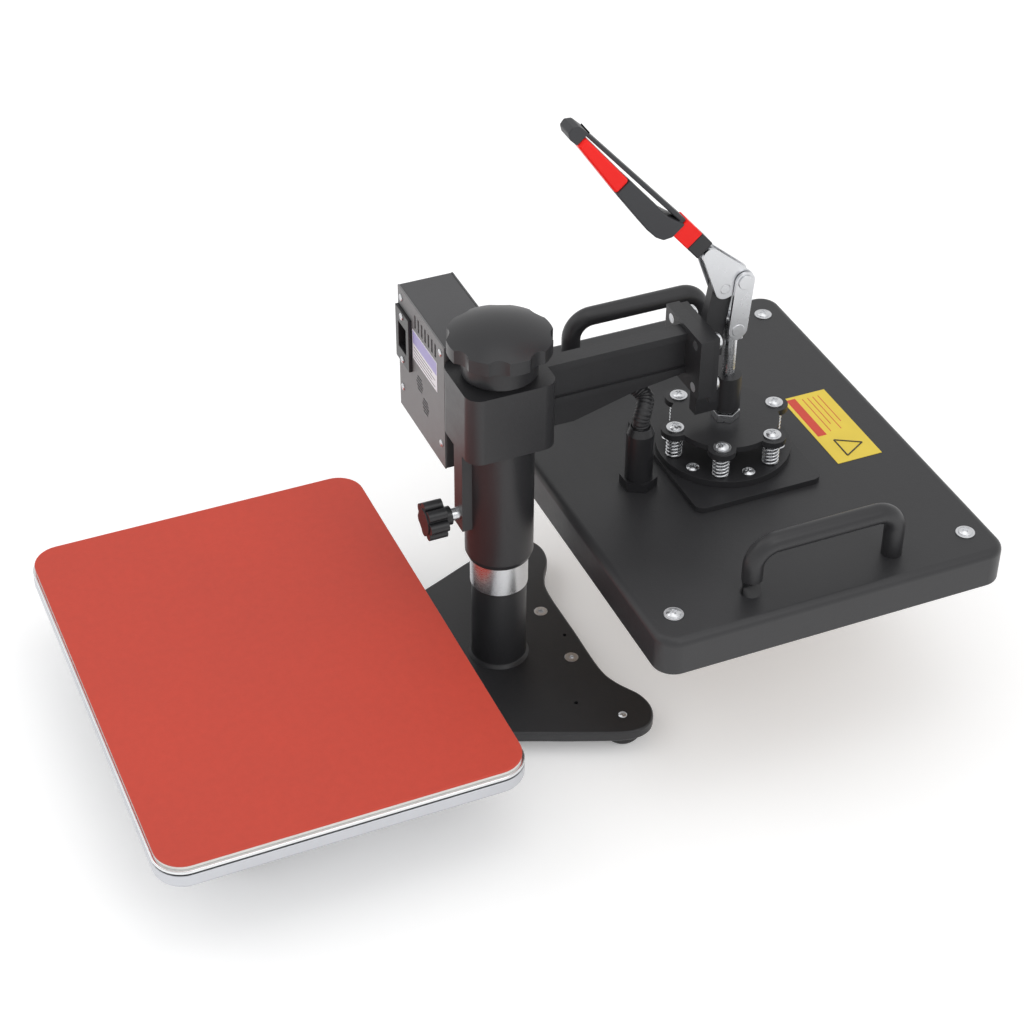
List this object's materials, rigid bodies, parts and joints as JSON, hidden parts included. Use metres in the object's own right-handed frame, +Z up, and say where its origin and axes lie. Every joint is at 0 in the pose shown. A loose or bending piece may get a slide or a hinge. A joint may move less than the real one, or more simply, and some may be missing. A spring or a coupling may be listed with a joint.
{
  "type": "heat press",
  "caption": "Swing-away heat press: lower platen with soft pad, column, and arm with toggle lever, sprung heating platen and control box.",
  "frame": {"origin": "middle of the footprint's bounding box, on the ground under the feet; the column's axis is 2.5 mm in front of it", "axes": "+X to the machine's right, +Y from the lower platen towards the heating platen as it is swung to the back, +Z up"},
  "size_m": [0.388, 0.677, 0.4929],
  "materials": {
    "painted_cast": "satin black paint",
    "painted_steel": "satin black powder coat",
    "box_grey": "dark grey powder coat",
    "panel_grey": "grey powder coat",
    "zinc": "zinc plated, satin",
    "bright_steel": "ground and polished",
    "tray_aluminium": "satin, edge trim bright",
    "cast_aluminium": "machined casting",
    "bronze": "sintered bronze",
    "brass": "turned brass",
    "black_plastic": "fine grain",
    "grip_grey": "soft touch, dark grey",
    "grip_red": "gloss red",
    "button_plastic": "light grey",
    "display_glass": "red tinted window",
    "circuit": "green laminate",
    "silicone": "matt orange-red silicone sponge",
    "foam": "white felt foam",
    "black_rubber": "moulded",
    "insulating_wool": "compressed wool board",
    "nonstick": "coated glass cloth",
    "cable_jacket": "corrugated conduit",
    "label_yellow": null,
    "label_white": null
  },
  "bodies": {
    "base": {"base_plate": "painted_steel", "rubber_feet": "black_rubber", "foot_screws": "zinc", "base_screws": "zinc", "post_flange": "painted_steel", "post_tube": "painted_steel", "journal_sleeve": "bright_steel", "screw_nut": "brass", "tray_stand": "painted_steel", "platen_tray": "tray_aluminium", "foam_layer": "foam", "silicone_pad": "silicone"},
    "thrust": {"thrust_washer": "zinc"},
    "arm": {"arm_casting": "painted_cast", "arm_bushes": "bronze", "clamp_frame": "painted_steel", "clamp_bolts": "zinc", "fulcrum_pin": "zinc", "box_shell": "box_grey", "box_back_panel": "panel_grey", "box_front_panel": "box_grey", "box_screws": "zinc", "power_inlet": "black_plastic", "display_window": "display_glass", "circuit_board": "circuit", "switch_housing": "black_plastic", "rating_label": "label_white", "heater_cable": "cable_jacket"},
    "knob": {"pressure_knob": "black_plastic", "lead_screw": "bright_steel"},
    "pad_of_lock": {"lock_pad": "brass"},
    "lock": {"lock_screw": "zinc", "lock_knob": "black_plastic"},
    "lever": {"lever_bar": "zinc", "lever_ferrule": "black_plastic", "lever_collar": "grip_red", "grip_body": "grip_grey", "grip_shell": "grip_red"},
    "link": {"link_plates": "zinc", "link_pin": "zinc"},
    "plunger": {"plunger_rod": "bright_steel", "plunger_nuts": "zinc", "star_plate": "painted_steel", "platen_springs": "bright_steel"},
    "platen": {"spring_screws": "zinc", "spring_disc": "painted_steel", "mount_plate": "painted_steel", "platen_cover": "painted_steel", "heater_block": "cast_aluminium", "insulation": "insulating_wool", "nonstick_face": "nonstick", "platen_screws": "zinc", "handles": "painted_steel", "cable_gland": "black_plastic", "warning_label": "label_yellow"},
    "switch_rocker": {"rocker": "grip_red"},
    "key_set": {"set_button": "button_plastic"},
    "key_shift": {"shift_button": "button_plastic"},
    "key_up": {"up_button": "button_plastic"},
    "key_down": {"down_button": "button_plastic"}
  },
  "joints": [
    {"name": "height_slide", "type": "slide", "parent": "base", "child": "thrust", "axis": [0, 0, 1], "range_m": [-0.026, 0.008]},
    {"name": "height_knob_turn", "type": "hinge", "parent": "thrust", "child": "knob", "pos_m": [0, -0.0025, 0.32], "axis": [0, 0, 1], "range_deg": [-2342, 721]},
    {"name": "arm_swing", "type": "hinge", "parent": "thrust", "child": "arm", "pos_m": [0, -0.0025, 0.2], "axis": [0, 0, 1], "range_deg": [-180, 180]},
    {"name": "lock_slide", "type": "slide", "parent": "arm", "child": "pad_of_lock", "axis": [0, -1, 0], "range_m": [-0.00025, 0.003]},
    {"name": "lock_knob_turn", "type": "hinge", "parent": "pad_of_lock", "child": "lock", "pos_m": [0, -0.0575, 0.174], "axis": [0, -1, 0], "range_deg": [-61, 721]},
    {"name": "lever_swing", "type": "hinge", "parent": "arm", "child": "lever", "pos_m": [0, 0.1795, 0.328], "axis": [-1, 0, 0], "range_deg": [0, 106.2]},
    {"name": "link_swing", "type": "hinge", "parent": "lever", "child": "link", "pos_m": [0, 0.1948, 0.33268], "axis": [1, 0, 0], "range_deg": [0, 126.6]},
    {"name": "plunger_slide", "type": "slide", "parent": "arm", "child": "plunger", "axis": [0, 0, -1], "range_m": [0, 0.01917]},
    {"name": "platen_float", "type": "slide", "parent": "plunger", "child": "platen", "axis": [0, 0, 1], "range_m": [0, 0.004], "stiffness_N_per_m": 30000, "springref_m": -0.005, "deforming": ["platen_springs"]},
    {"name": "power_rocker", "type": "hinge", "parent": "arm", "child": "switch_rocker", "pos_m": [-0.1, 0.007, 0.221], "axis": [0, 0, 1], "range_deg": [-24, 0]},
    {"name": "set_press", "type": "slide", "parent": "arm", "child": "key_set", "axis": [0, -1, 0], "range_m": [0, 0.001], "stiffness_N_per_m": 300, "springref_m": -0.002},
    {"name": "shift_press", "type": "slide", "parent": "arm", "child": "key_shift", "axis": [0, -1, 0], "range_m": [0, 0.001], "stiffness_N_per_m": 300, "springref_m": -0.002},
    {"name": "up_press", "type": "slide", "parent": "arm", "child": "key_up", "axis": [0, -1, 0], "range_m": [0, 0.001], "stiffness_N_per_m": 300, "springref_m": -0.002},
    {"name": "down_press", "type": "slide", "parent": "arm", "child": "key_down", "axis": [0, -1, 0], "range_m": [0, 0.001], "stiffness_N_per_m": 300, "springref_m": -0.002}
  ],
  "couplings": [
    {"joint": "height_knob_turn", "follows": "height_slide", "rad_per_m": 1570.8},
    {"joint": "lock_knob_turn", "follows": "lock_slide", "rad_per_m": 4188.8},
    {"joint": "lever_swing", "follows": "plunger_slide", "rad_per_m": 96.523},
    {"joint": "link_swing", "follows": "plunger_slide", "rad_per_m": 115.02}
  ]
}
